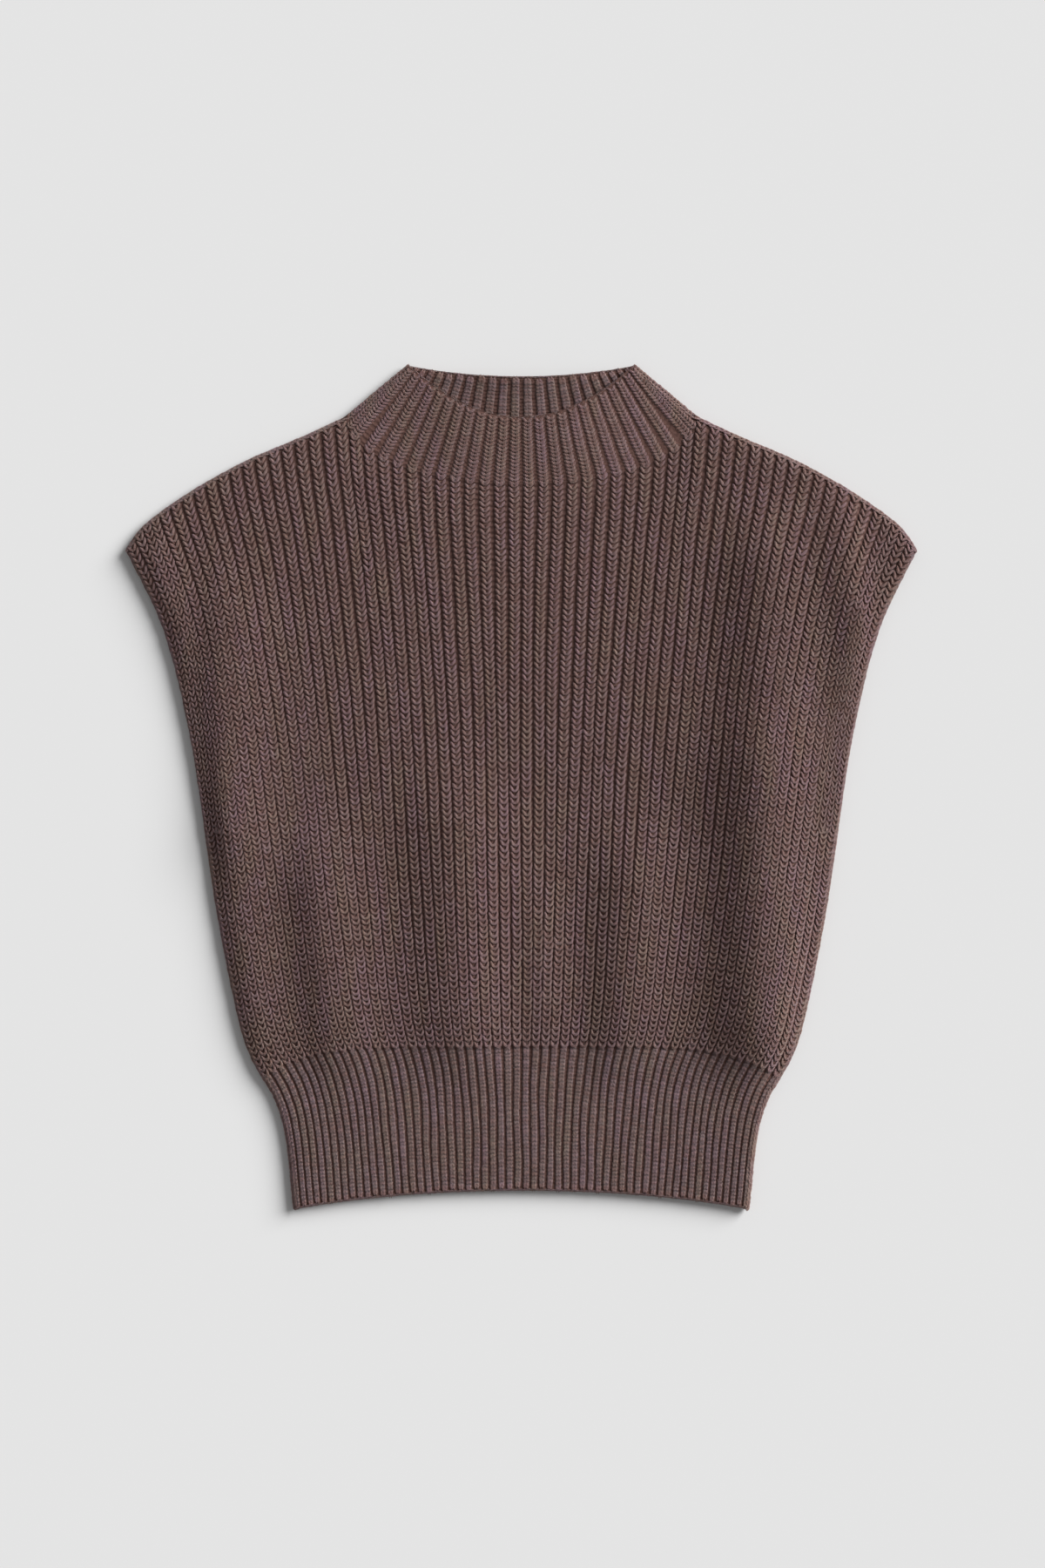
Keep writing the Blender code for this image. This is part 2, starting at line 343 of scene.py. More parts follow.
@dataclass(frozen=True)
class Panel:
    """A knitted piece: where its ribs run, where its faces lie and how its stitches fill them."""

    node: str  # the solid that it stands for
    slot: str
    place: Callable  # x and height, from shares across and up
    outer: Callable  # how high the face with the stitches lies, from x and height
    inner: Callable
    facing: int  # 1 where the stitches look up, -1 where they look down
    ribs: int
    course: float  # mm along a rib
    flat: tuple  # the width and length that it was knitted to, in metres
    rows: int  # rows of faces in its wall
    under: tuple  # how far its wall runs on beneath its neighbours at foot and head, shares of up
    depth: float  # mm that a stitch is set into the face, before its loft flattens both
    fill: float = 0.9  # the share of a rib that its stitches fill
    widest: float = 6.1  # mm: no stitch is wider than this and a tenth of its rib together

    @property
    def is_body(self):
        return self.slot == BODY_SLOT

    @property
    def inset(self):
        """How far inside the outline its wall ends, as a share of the half width."""
        return FRONT_INSET if self.inner is front_inner else BACK_INSET

    def point(self, across, up, sink=0.0):
        """The outer face's point, or one that lies a share of the wall's thickness under it."""
        x, height = self.place(across, up)
        z = blend(self.outer(x, height), self.inner(x, height), sink)
        return np.stack((x, height - LENGTH / 2, z), axis=-1)

    def axes(self, across, up):
        """Unit vectors along the rib and out of the cloth, a rib's width and the rib's length."""
        low, high = np.clip(up - NEARBY, 0, 1 - NEARBY), np.clip(up + NEARBY, NEARBY, 1)
        left, right = np.maximum(across - NEARBY, -1), np.minimum(across + NEARBY, 1)
        along = self.point(across, high) - self.point(across, low)
        sideways = self.point(right, up) - self.point(left, up)
        length = np.linalg.norm(along, axis=-1) / (high - low)
        along /= np.linalg.norm(along, axis=-1, keepdims=True)
        out = np.cross(sideways, along) * self.facing
        rib = np.linalg.norm(out, axis=-1) / (right - left) * 2 / self.ribs
        out /= np.linalg.norm(out, axis=-1, keepdims=True)
        return along, out, rib, length

    def flat_area(self):
        """The panel's flat area in square metres, summed over small cells."""
        steps = np.linspace(0, 1, AREA_STEPS)
        x, height = self.place(*np.meshgrid(2 * steps - 1, steps))
        wide = np.diff((x[:-1] + x[1:]) / 2, axis=1)
        tall = np.diff((height[:, :-1] + height[:, 1:]) / 2, axis=0)
        drop = np.diff((height[:-1] + height[1:]) / 2, axis=1)
        lean = np.diff((x[:, :-1] + x[:, 1:]) / 2, axis=0)
        return float((wide * tall - drop * lean).sum()) * MM * MM


FRONT_BODY = Panel(
    node="front_body",
    slot=BODY_SLOT,
    place=partial(body_place, front_neck),
    outer=partial(front_outer, BODY_THICK),
    inner=front_inner,
    facing=1,
    ribs=BODY_RIBS,
    course=BODY_COURSE,
    flat=(0.5442, 0.4551),
    rows=80,
    under=(0.003, 0.003),
    depth=1.6,
    fill=0.95,
)
BACK_BODY = Panel(
    node="back_body",
    slot=BODY_SLOT,
    place=partial(body_place, back_neck),
    outer=back_outer,
    inner=back_inner,
    facing=-1,
    ribs=BODY_RIBS,
    course=BODY_COURSE,
    flat=(0.5442, 0.4551),
    rows=50,
    under=(0.003, 0.003),
    depth=2.6,
)
FRONT_HEM = Panel(
    node="front_hem_rib",
    slot=TRIM_SLOT,
    place=hem_place,
    outer=partial(front_outer, TRIM_THICK),
    inner=front_inner,
    facing=1,
    ribs=BODY_RIBS,
    course=HEM_COURSE,
    flat=(0.3564, 0.1128),
    rows=20,
    under=(0, 0.02),
    depth=1.85,
    fill=0.93,
)
BACK_HEM = Panel(
    node="back_hem_rib",
    slot=TRIM_SLOT,
    place=hem_place,
    outer=back_outer,
    inner=back_inner,
    facing=-1,
    ribs=BODY_RIBS,
    course=HEM_COURSE,
    flat=(0.3564, 0.1128),
    rows=12,
    under=(0, 0.02),
    depth=2.1,
    fill=0.93,
)
FRONT_COLLAR = Panel(
    node="front_collar",
    slot=TRIM_SLOT,
    place=partial(collar_place, front_neck, FRONT_RIM_DIP),
    outer=partial(front_outer, TRIM_THICK),
    inner=front_inner,
    facing=1,
    ribs=NECK_RIBS,
    course=COLLAR_COURSE,
    flat=(0.239, 0.0807),
    rows=10,
    under=(0.03, 0),
    depth=1.9,
    fill=0.88,
    widest=7.0,
)
BACK_COLLAR = Panel(
    node="back_collar",
    slot=TRIM_SLOT,
    place=partial(collar_place, back_neck, BACK_RIM_DIP),
    outer=back_collar_face,
    inner=back_collar_underside,
    facing=1,
    ribs=NECK_RIBS,
    course=COLLAR_COURSE,
    flat=(0.239, 0.0527),
    rows=8,
    under=(0.03, 0),
    depth=2.0,
    widest=9.0,
)


# -------- node helpers


def linear(hex_colour):
    """An sRGB hex colour as linear RGBA."""
    parts = [int(hex_colour[i : i + 2], 16) / 255 for i in (1, 3, 5)]
    return (*(c / 12.92 if c <= 0.04045 else ((c + 0.055) / 1.055) ** 2.4 for c in parts), 1.0)


def add_node(tree, kind, links=None, **settings):
    """Adds a node, sets its properties, and sets or links its inputs by name or number.

    An input that is given a node is linked to that node's first output.
    """
    node = tree.nodes.new(kind)
    for key, value in settings.items():
        setattr(node, key, value)
    for key, value in (links or {}).items():
        if isinstance(value, bpy.types.Node):
            value = value.outputs[0]
        if isinstance(value, bpy.types.NodeSocket):
            tree.links.new(value, node.inputs[key])
        else:
            node.inputs[key].default_value = value
    return node


# -------- materials

# Sizes of the patterns in the wool, mm. Single fibres, some 0.02 mm thick, are far too fine to
# show in the render, so they are drawn as tufts, and the purl side's fuzz as a coarser grain.
TUFT = 0.714
GRAIN = 2.38
CLOUD = 33.3  # patches where the yarn came out paler or darker
DYE_ACROSS = 9.09  # the drift in the dye is narrow across the ribs and long down them
DYE_ALONG = 38.5
PLY_RELIEF = 0.4
PURL_RELIEF = 1.2

# Weights and limits of those patterns
CLOUD_WEIGHT = 0.3
TONE_WEIGHT = 0.4  # of the even tone that each stitch has of its own
TUFT_WEIGHT = 0.35
# The plies' part of the colour is painted shade between them and a painted highlight on their
# crowns
PLY_WEIGHT = 0.3
SHADE_START = -0.1  # what the weighted patterns are added to, to centre them near half way
DRIFT_CONTRAST = 2.6  # spreads the dye's soft noise over the whole way between its two shades
DRIFT_START = -0.8  # and centres it there
PLY_SHARE = 0.6  # how strong plies are in the relief, beside the tufts
SOFTNESS = 0.7  # how far loose fibres turn a leg's shading towards that of the cloth under it

WOOL = {
    "Roughness": 0.92,
    "Specular IOR Level": 0.25,
    "Subsurface Weight": 0.7,
    "Subsurface Scale": 2.0 * MM,
    "Subsurface Radius": (1.0, 0.8, 0.7),
    "Sheen Weight": 0.22,
    "Sheen Roughness": 0.45,
    "Sheen Tint": linear("#c9cdd6"),
}
SHADED_WOOL = {"Roughness": 0.95, "Specular IOR Level": 0.2}
PAPER = {"Base Color": linear("#e6e6e6"), "Roughness": 0.9, "Specular IOR Level": 0.1}


def cells_a_metre(size):
    return 1 / (size * MM)


def new_material(name, finish):
    """A material with a finish that is even all over, and its shader."""
    material = bpy.data.materials.new(name)
    material.use_nodes = True
    shader = material.node_tree.nodes["Principled BSDF"]
    for key, value in finish.items():
        shader.inputs[key].default_value = value
    return material, shader


def yarn_material(name, plies, twist):
    """Wool-blend yarn, dyed a muted brown, spun in soft plies and left unbrushed.

    It looks matt and slightly fuzzy. Fine twisted lines run down each leg, as bumps and as painted
    shade between the plies with a painted highlight on their crowns.
    No two stitches are quite the same tone, and the brown drifts between a mauve and a warmer shade
    along the ribs.
    plies is how many lie around a leg, and twist how many of them cross its front on the way up.
    """
    material, shader = new_material(name, WOOL)
    tree = material.node_tree
    node = partial(add_node, tree)
    place = node("ShaderNodeTexCoord").outputs["Object"]

    # Plies: the yarn's map has a turn around each leg in u and its length in v
    turns = node("ShaderNodeSeparateXYZ", {0: node("ShaderNodeUVMap", uv_map="UVMap")}).outputs
    turned = node(
        "ShaderNodeMath", {0: turns[1], 1: twist / plies, 2: turns[0]}, operation="MULTIPLY_ADD"
    )
    angle = node("ShaderNodeMath", {0: turned, 1: 2 * math.pi * plies}, operation="MULTIPLY")
    wave = node("ShaderNodeMath", {0: angle}, operation="SINE")
    ply = node("ShaderNodeMath", {0: wave, 1: 0.5, 2: 0.5}, operation="MULTIPLY_ADD")

    # Shade: painted shade between the plies, darker where the tuft noise is low, and uneven from
    # stitch to stitch and place to place
    cloud = node(
        "ShaderNodeTexNoise", {"Vector": place, "Scale": cells_a_metre(CLOUD), "Detail": 2.0}
    )
    tuft = node(
        "ShaderNodeTexNoise", {"Vector": place, "Scale": cells_a_metre(TUFT), "Detail": 2.0}
    )
    tone = node("ShaderNodeAttribute", attribute_name="tone").outputs["Fac"]
    parts = ((cloud, CLOUD_WEIGHT), (tone, TONE_WEIGHT), (tuft, TUFT_WEIGHT), (ply, PLY_WEIGHT))
    shade = SHADE_START
    for part, weight in parts:
        shade = node("ShaderNodeMath", {0: part, 1: weight, 2: shade}, operation="MULTIPLY_ADD")

    # Colour: the light colour drifts with the dye. The dark one, more saturated as shade is, shows
    # where shade is low, so the plies get painted shade between them and a painted highlight on
    # their crowns
    stretch = (cells_a_metre(DYE_ACROSS), cells_a_metre(DYE_ALONG), cells_a_metre(DYE_ALONG))
    stretched = node("ShaderNodeMapping", {"Vector": place, "Scale": stretch})
    drift = node("ShaderNodeTexNoise", {"Vector": stretched, "Scale": 1.0, "Detail": 1.0})
    drift = node(
        "ShaderNodeMath", {0: drift, 1: DRIFT_CONTRAST, 2: DRIFT_START}, operation="MULTIPLY_ADD"
    )
    light = node(
        "ShaderNodeMix",
        {"Factor": drift, 6: linear("#896f75"), 7: linear("#877268")},
        data_type="RGBA",
    )
    colour = node(
        "ShaderNodeMix",
        {"Factor": shade, 6: linear("#6c4e49"), 7: light.outputs[2]},
        data_type="RGBA",
    )
    tree.links.new(colour.outputs[2], shader.inputs["Base Color"])

    # Relief: plies and tufts, over a leg whose shading loose fibres have softened
    cloth = node("ShaderNodeAttribute", attribute_name="out").outputs["Vector"]
    own = node("ShaderNodeNewGeometry").outputs["Normal"]
    soft = node("ShaderNodeMix", {"Factor": SOFTNESS, 4: own, 5: cloth}, data_type="VECTOR")
    soft = node("ShaderNodeVectorMath", {0: soft.outputs[1]}, operation="NORMALIZE")
    relief = node("ShaderNodeMath", {0: ply, 1: PLY_SHARE, 2: tuft}, operation="MULTIPLY_ADD")
    bump = node(
        "ShaderNodeBump",
        {"Strength": 0.8, "Distance": PLY_RELIEF * MM, "Height": relief, "Normal": soft},
    )
    tree.links.new(bump.outputs[0], shader.inputs["Normal"])
    return material


def wall_material(name, dark, light, purl_height):
    """The purl side of the same wool-blend knit, between the ribs, coloured darker than the yarn as
    painted shade.

    It looks dark and dull, with one soft bump for each course. Its colour runs from dark to light
    with that bump and the grain, so the bump's dips get painted shade. purl_height is how strong
    that bump is, beside the grain.
    """
    material, shader = new_material(name, SHADED_WOOL)
    tree = material.node_tree
    node = partial(add_node, tree)
    place = node("ShaderNodeTexCoord").outputs["Object"]
    grain = node(
        "ShaderNodeTexNoise", {"Vector": place, "Scale": cells_a_metre(GRAIN), "Detail": 3.0}
    )
    courses = node("ShaderNodeSeparateXYZ", {0: node("ShaderNodeUVMap", uv_map="UVMap")}).outputs[1]
    angle = node("ShaderNodeMath", {0: courses, 1: 2 * math.pi}, operation="MULTIPLY")
    purl = node("ShaderNodeMath", {0: angle}, operation="SINE")
    height = node("ShaderNodeMath", {0: purl, 1: purl_height, 2: grain}, operation="MULTIPLY_ADD")
    # Painted shade: darker in the purl bump's dips and the grain's low spots
    colour = node(
        "ShaderNodeMix", {"Factor": height, 6: linear(dark), 7: linear(light)}, data_type="RGBA"
    )
    tree.links.new(colour.outputs[2], shader.inputs["Base Color"])
    bump = node("ShaderNodeBump", {"Strength": 0.9, "Distance": PURL_RELIEF * MM, "Height": height})
    tree.links.new(bump.outputs[0], shader.inputs["Normal"])
    return material


BODY_YARN = yarn_material("chunky_wool_blend_yarn", plies=6, twist=1.8)
TRIM_YARN = yarn_material("fine_rib_wool_blend_yarn", plies=2, twist=3.5)
# The walls' colours, far darker than the yarn's, are painted shade between the ribs.
PAINTED_SHADE_BODY_WALL = wall_material("painted_shade_purl_side", "#573f3a", "#6c514b", purl_height=0.3)
PAINTED_SHADE_TRIM_WALL = wall_material("painted_shade_fine_purl_side", "#573f39", "#664b45", purl_height=0.15)


# -------- walls

# The wall under the stitches: (share of a rib's width, how high the wall stands there)
RIB_PROFILE = ((0.0, 0.0), (0.14, 0.5), (0.3, 0.92), (0.5, 1.0), (0.7, 0.92), (0.86, 0.5))
# How deep the wall lies in the valleys and under the ribs, as shares of its thickness
BODY_SINK = (0.44, 0.35)
TRIM_SINK = (0.35, 0.27)
SHARP_ANGLE = math.radians(50)  # keeps the shading of a wall's face off its ends


def mesh_object(name, points, faces, material, uv=None):
    """A smooth-shaded mesh from points in millimetres, with an optional UV pair for each point."""
    data = bpy.data.meshes.new(name)
    data.from_pydata((points * MM).tolist(), [], faces)
    if uv is not None:
        corners = np.empty(len(data.loops), dtype=np.int32)
        data.loops.foreach_get("vertex_index", corners)
        layer = data.uv_layers.new(name="UVMap")
        layer.uv.foreach_set("vector", uv[corners].astype(np.float32).ravel())
    data.shade_smooth()
    data.materials.append(material)
    thing = bpy.data.objects.new(name, data)
    bpy.context.scene.collection.objects.link(thing)
    return thing


def recalculate_normals(data):
    mesh = bmesh.new()
    mesh.from_mesh(data)
    bmesh.ops.recalc_face_normals(mesh, faces=mesh.faces)
    mesh.to_mesh(data)
    mesh.free()


def grid_faces(first, wide, rows):
    """The faces between points that lie in rows, each of them wide points long."""
    starts = [first + row * wide + i for row in range(rows) for i in range(wide - 1)]
    return [(start, start + 1, start + wide + 1, start + wide) for start in starts]


def closing_faces(panel, first_plain, wide, plain_wide):
    """The faces that close a wall: one for each rib at its foot and head, and its two sides."""
    faces = []
    per_rib = len(RIB_PROFILE)
    for row in (0, panel.rows):
        for rib in range(panel.ribs):
            ribbed = row * wide + rib * per_rib
            plain = first_plain + row * plain_wide + rib
            faces.append((plain, plain + 1, *range(ribbed + per_rib, ribbed - 1, -1)))
    for row in range(panel.rows):
        for side, plain_side in ((0, 0), (wide - 1, plain_wide - 1)):
            ribbed = row * wide + side
            plain = first_plain + row * plain_wide + plain_side
            faces.append((ribbed, ribbed + wide, plain + plain_wide, plain))
    return faces


def cloth_wall(panel):
    """A closed wall: ribs in its outer face over a plain inner face, as the solid has."""
    inset = panel.inset
    profile = [(rib + share, height) for rib in range(panel.ribs) for share, height in RIB_PROFILE]
    marks, heights = np.array([*profile, (panel.ribs, 0.0)]).T
    ribbed = np.clip(marks * 2 / panel.ribs - 1, inset - 1, 1 - inset)
    plain = np.clip(np.linspace(-1, 1, panel.ribs + 1), inset - 1, 1 - inset)
    valley, crest = BODY_SINK if panel.is_body else TRIM_SINK
    foot, head = panel.under
    up = np.linspace(-foot, 1 + head, panel.rows + 1)[:, None]

    def kept_in(columns):
        """The rows' places up. Where they end at a shoulder, they stay inside the outline."""
        at_shoulder = panel.is_body & (abs(columns) > NECK_SHARE)
        return np.minimum(up, np.where(at_shoulder, 1 - inset, np.inf))

    outer = panel.point(ribbed, kept_in(ribbed), blend(valley, crest, heights))
    inner = panel.point(plain, kept_in(plain), 1.0)
    wide, plain_wide = len(ribbed), len(plain)
    first_plain = (panel.rows + 1) * wide
    faces = grid_faces(0, wide, panel.rows) + grid_faces(first_plain, plain_wide, panel.rows)
    faces += closing_faces(panel, first_plain, wide, plain_wide)

    # One unit of the UV map is a rib across and a course up
    courses = up * np.ptp(outer[:, wide // 2, 1]) / panel.course
    maps = [np.broadcast_arrays((side + 1) * panel.ribs / 2, courses) for side in (ribbed, plain)]
    uv = np.concatenate([np.stack(pair, axis=-1).reshape(-1, 2) for pair in maps])
    points = np.concatenate((outer.reshape(-1, 3), inner.reshape(-1, 3)))
    wall = mesh_object(
        f"{panel.node}_cloth", points, faces, PAINTED_SHADE_BODY_WALL if panel.is_body else PAINTED_SHADE_TRIM_WALL, uv
    )
    recalculate_normals(wall.data)
    wall.data.set_sharp_from_angle(angle=SHARP_ANGLE)
    return wall


# -------- one stitch

STITCH_INPUTS = (
    ("Foot", "NodeSocketVector"),
    ("Bulge", "NodeSocketVector"),
    ("Head", "NodeSocketVector"),
    ("Yarn Radius", "NodeSocketFloat"),
    ("Foot Share", "NodeSocketFloat"),
    ("Sides", "NodeSocketInt"),
    ("Rings", "NodeSocketInt"),
    ("Seed", "NodeSocketInt"),
    ("Yarn", "NodeSocketMaterial"),
)
LINE_STEPS = 12  # in the bend that a leg follows, before its rings are spaced on it
WELD = 0.02  # mm within which the two legs' points are one


def stitch_tree():
    """Lays a stitch on every point: two legs of yarn that spread upwards from the stitch's foot."""
    tree = bpy.data.node_groups.new("knit_stitches", "GeometryNodeTree")
    tree.interface.new_socket("Geometry", in_out="INPUT", socket_type="NodeSocketGeometry")
    for name, kind in STITCH_INPUTS:
        tree.interface.new_socket(name, in_out="INPUT", socket_type=kind)
    tree.interface.new_socket("Geometry", in_out="OUTPUT", socket_type="NodeSocketGeometry")
    node = partial(add_node, tree)
    given = node("NodeGroupInput").outputs

    # One leg: a bent line, with a ring at each end and Rings between them
    line = node(
        "GeometryNodeCurveQuadraticBezier",
        {
            "Start": given["Foot"],
            "Middle": given["Bulge"],
            "End": given["Head"],
            "Resolution": LINE_STEPS,
        },
    )
    rings = node("ShaderNodeMath", {0: given["Rings"], 1: 2.0}, operation="ADD")
    leg = node("GeometryNodeResampleCurve", {"Curve": line, "Count": rings}, mode="COUNT")

    # It is drawn to a point at its head, and to Foot Share of its section at its foot
    along = node("GeometryNodeSplineParameter").outputs["Factor"]
    to_go = node("ShaderNodeMath", {0: 1.0, 1: along}, operation="SUBTRACT")
    near_head = node("ShaderNodeMath", {0: along, 1: 3.0}, operation="POWER")
    near_foot = node("ShaderNodeMath", {0: to_go, 1: 3.0}, operation="POWER")
    drawn = node("ShaderNodeMath", {0: 1.0, 1: given["Foot Share"]}, operation="SUBTRACT")
    drawn = node("ShaderNodeMath", {0: drawn, 1: near_foot}, operation="MULTIPLY")
    at_head = node("ShaderNodeMath", {0: 1.0, 1: near_head}, operation="SUBTRACT")
    at_foot = node("ShaderNodeMath", {0: 1.0, 1: drawn}, operation="SUBTRACT")
    swell = node("ShaderNodeMath", {0: at_head, 1: at_foot}, operation="MULTIPLY")
    swell = node("ShaderNodeMath", {0: swell, 1: 0.5}, operation="POWER")
    radius = node("ShaderNodeMath", {0: swell, 1: given["Yarn Radius"]}, operation="MULTIPLY")

    # Its UV map has the turn around it in u and its length in v
    leg = node("GeometryNodeCaptureAttribute", {"Geometry": leg}, domain="POINT")
    leg.capture_items.new("FLOAT", "Along")
    tree.links.new(along, leg.inputs["Along"])
    ring = node(
        "GeometryNodeCurvePrimitiveCircle",
        {"Resolution": given["Sides"], "Radius": 1.0},
        mode="RADIUS",
    )
    ring = node("GeometryNodeCaptureAttribute", {"Geometry": ring}, domain="POINT")
    ring.capture_items.new("FLOAT", "Around")
    around = node("GeometryNodeSplineParameter").outputs["Factor"]
    tree.links.new(around, ring.inputs["Around"])
    tube = node(
        "GeometryNodeCurveToMesh",
        {
            "Curve": leg.outputs["Geometry"],
            "Profile Curve": ring.outputs["Geometry"],
            "Scale": radius,
            "Fill Caps": True,
        },
    )
    uv = node("ShaderNodeCombineXYZ", {"X": ring.outputs["Around"], "Y": leg.outputs["Along"]})
    mapped = node(
        "GeometryNodeStoreNamedAttribute",
        {"Geometry": tube, "Name": "UVMap", "Value": uv},
        data_type="FLOAT2",
        domain="CORNER",
    )

    # The other leg is its mirror image, turned the right way out, and the two are closed into one
    twin = node("GeometryNodeTransform", {"Geometry": mapped, "Scale": (-1.0, 1.0, 1.0)})
    twin = node("GeometryNodeFlipFaces", {"Mesh": twin})
    stitch = node("GeometryNodeJoinGeometry")
    tree.links.new(mapped.outputs[0], stitch.inputs[0])
    tree.links.new(twin.outputs[0], stitch.inputs[0])
    stitch = node("GeometryNodeMergeByDistance", {"Geometry": stitch, "Distance": WELD * MM})
    stitch = node("GeometryNodeSetShadeSmooth", {"Geometry": stitch})

    # A stitch on each point, turned to the rib, stretched to its room and given its own tone
    of_point = {
        name: node("GeometryNodeInputNamedAttribute", {"Name": name}, data_type="FLOAT_VECTOR")
        for name in ("along", "out", "stretch")
    }
    turn = node(
        "FunctionNodeAxesToRotation",
        {"Primary Axis": of_point["out"], "Secondary Axis": of_point["along"]},
        primary_axis="Z",
        secondary_axis="Y",
    )
    laid = node(
        "GeometryNodeInstanceOnPoints",
        {
            "Points": given["Geometry"],
            "Instance": stitch,
            "Rotation": turn,
            "Scale": of_point["stretch"],
        },
    )
    tone = node("FunctionNodeRandomValue", {"Seed": given["Seed"]}, data_type="FLOAT")
    toned = node(
        "GeometryNodeStoreNamedAttribute",
        {"Geometry": laid, "Name": "tone", "Value": tone.outputs[1]},
        data_type="FLOAT",
        domain="INSTANCE",
    )
    real = node("GeometryNodeRealizeInstances", {"Geometry": toned})
    finished = node("GeometryNodeSetMaterial", {"Geometry": real, "Material": given["Yarn"]})
    node("NodeGroupOutput", {0: finished})
    return tree


STITCH_TREE = stitch_tree()


def leg_of(foot, bulge, head, radius, foot_share):
    """A stitch's right-hand leg: (x across, y up the rib, z out) of three places, and its yarn."""
    return {
        "Foot": foot,
        "Bulge": bulge,
        "Head": head,
        "Yarn Radius": radius,
        "Foot Share": foot_share,
        "Sides": 6,
        "Rings": 2,
    }


# Legs in millimetres, for a rib and a course of this size: wide V shapes on the chest, rounder U
# shapes at the waist, fine V shapes on the front collar and the edges, and slim strands on the hem
# ribs and the back collar. The back is seen the least, so its legs have a side fewer.
STITCH_RIB = 7.0
STITCH_COURSE = 4.0
CHEST_LEG = leg_of((0.3, -2.6, 0.0), (1.4, -2.2, 2.5), (3.6, 2.2, -1.3), 1.12, 0.45)
WAIST_LEG = leg_of((0.0, -2.9, 0.8), (2.9, -2.9, 1.9), (2.75, 2.6, -1.2), 1.05, 0.85)
COLLAR_LEG = leg_of((0.0, -2.9, 0.3), (1.7, -2.4, 1.7), (2.9, 2.6, -1.3), 1.35, 0.85)
EDGE_LEG = leg_of((0.2, -3.0, 0.2), (1.3, -2.4, 1.7), (2.7, 3.0, -1.0), 1.6, 0.45)
HEM_LEG = leg_of((0.9, -7.0, 0.0), (0.95, 0.0, 0.45), (1.05, 7.0, -0.1), 2.0, 0.0)
BACK_LEG = dict(CHEST_LEG, Sides=5)


def leg_between(first, second, share):
    """A leg between two others, so that one kind of stitch passes into the next unseen."""
    mixed = dict(first)
    for key in ("Foot", "Bulge", "Head"):
        mixed[key] = tuple(blend(a, b, share) for a, b in zip(first[key], second[key]))
    for key in ("Foot Share", "Yarn Radius"):
        mixed[key] = blend(first[key], second[key], share)
    return mixed


# -------- laying stitches

LOFT = 0.54  # the share of its leg's own height that a stitch keeps: knitted yarn lies flattened
LOFT_LIMITS = (0.5, 1.1)  # the widths, in STITCH_RIB, between which its height follows its width
SPREAD = 0.1  # the share of its rib that a stitch may grow by past its panel's widest

# How unevenly stitches lie: mm along X, Y and Z, then shares of a turn aside and of their size
SHIFT = (0.16, 0.2, 0.12)
SKEW = 0.05
STRETCH = 0.05
# How much of that unevenness each kind has
BODY_UNEVEN = 0.75
TRIM_UNEVEN = 0.4
EDGE_UNEVEN = 0.5


def stitch_loft(width):
    return LOFT * np.clip(width / STITCH_RIB, *LOFT_LIMITS)


def stitches(name, leg, yarn, points, along, out, width, course, uneven):
    """Stitches at points, as one plain mesh: turned to along and out, in their width and course."""
    seed = SEED + len(name)
    jitter = np.random.default_rng(seed).normal(0, uneven, (len(points), 6))
    points = points + jitter[:, :3] * SHIFT
    along = along + SKEW * jitter[:, 3:4] * np.cross(out, along)
    wide = width / STITCH_RIB * (1 + STRETCH * jitter[:, 4])
    tall = course / STITCH_COURSE * (1 + STRETCH * jitter[:, 5])
    stretch = np.stack((wide, tall, stitch_loft(width)), axis=-1)

    cloud = mesh_object(f"{name}_points", points, [], yarn)
    for key, values in (("along", along), ("out", out), ("stretch", stretch)):
        layer = cloud.data.attributes.new(key, "FLOAT_VECTOR", "POINT")
        layer.data.foreach_set("vector", np.ascontiguousarray(values, dtype=np.float32).ravel())
    modifier = cloud.modifiers.new("stitches", "NODES")
    modifier.node_group = STITCH_TREE
    sockets = {item.name: item.identifier for item in STITCH_TREE.interface.items_tree}
    for key, value in leg.items():
        if isinstance(value, tuple):
            value = [part * MM for part in value]
        elif key == "Yarn Radius":
            value = value * MM
        modifier[sockets[key]] = value
    modifier[sockets["Seed"]] = seed
    modifier[sockets["Yarn"]] = yarn
    bpy.context.view_layer.update()
    ready = cloud.evaluated_get(bpy.context.evaluated_depsgraph_get())
    data = bpy.data.meshes.new_from_object(ready)
    data.name = name
    bpy.data.objects.remove(cloud)
    piece = bpy.data.objects.new(name, data)
    bpy.context.scene.collection.objects.link(piece)
    return piece


def rib_sites(panel, spare, neck_spare=None, stagger=0.0):
    """A column for each rib and course: across, up, its share of a rib's width, its share of up.

    spare is how many courses are left free at the foot and the head, less than none where they
    run on beneath a neighbour, and neck_spare the same for the ribs that run on into a collar.
    stagger is by how many courses the ribs are out of step.
    """
    sites = []
    for rib in range(panel.ribs):
        across = -1 + (2 * rib + 1) / panel.ribs
        x, height = panel.place(np.full(2, across), np.array((0.0, 1.0)))
        count = round(math.hypot(x[1] - x[0], height[1] - height[0]) / panel.course)
        into_collar = neck_spare and abs(across) < NECK_SHARE
        low, high = (part / count for part in (neck_spare if into_collar else spare))
        out_of_step = stagger * ((rib * GOLDEN) % 1 - 0.5)
        column = np.ones((4, count))
        column[0] = across
        column[1] = blend(low, 1 - high, (np.arange(count) + 0.5 + out_of_step) / count)
        column[3] = (1 - low - high) / count
        sites.append(column)
    return np.concatenate(sites, axis=1)


def outermost(panel, sites):
    """The sites of the rib at the right-hand edge, whose middle lies 1 / ribs inside it."""
    return sites[:, sites[0] > 1 - 1.5 / panel.ribs]


